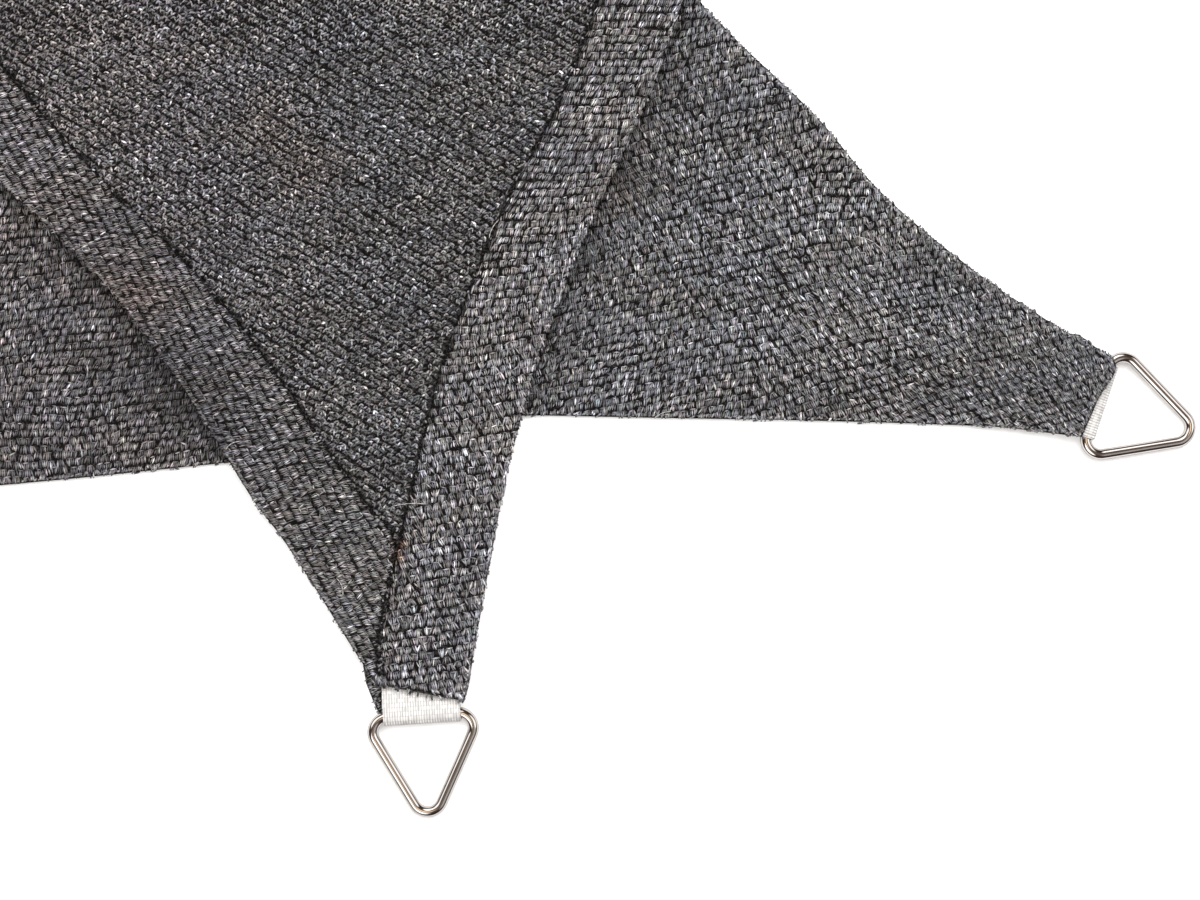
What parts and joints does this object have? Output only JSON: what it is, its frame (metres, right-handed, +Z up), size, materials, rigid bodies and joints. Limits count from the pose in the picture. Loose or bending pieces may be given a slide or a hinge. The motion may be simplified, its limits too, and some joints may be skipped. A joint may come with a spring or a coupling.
{
  "type": "triangular shade sail",
  "caption": "Folded triangular shade sail of knitted cloth with hemmed edges and a webbing loop and triangular steel ring at each corner.",
  "frame": {"origin": "middle of the underside of the folded sail's bounding box, where it rests", "axes": "+X along the sail's lower edge towards the right corner, +Y away from the front corner towards the folded stack, +Z up"},
  "size_m": [0.9124, 0.6976, 0.0194],
  "materials": {
    "cloth": "knitted polyethylene shade cloth, mottled dark grey, matt with a slight sheen on each yarn",
    "webbing": "white polyester webbing with fine ribs",
    "ring": "bent stainless steel wire, polished"
  },
  "bodies": {
    "root": {"sail_cloth": "cloth", "webbing_front": "webbing", "webbing_right": "webbing", "webbing_left": "webbing", "ring_front": "ring", "ring_right": "ring", "ring_left": "ring"}
  },
  "joints": []
}
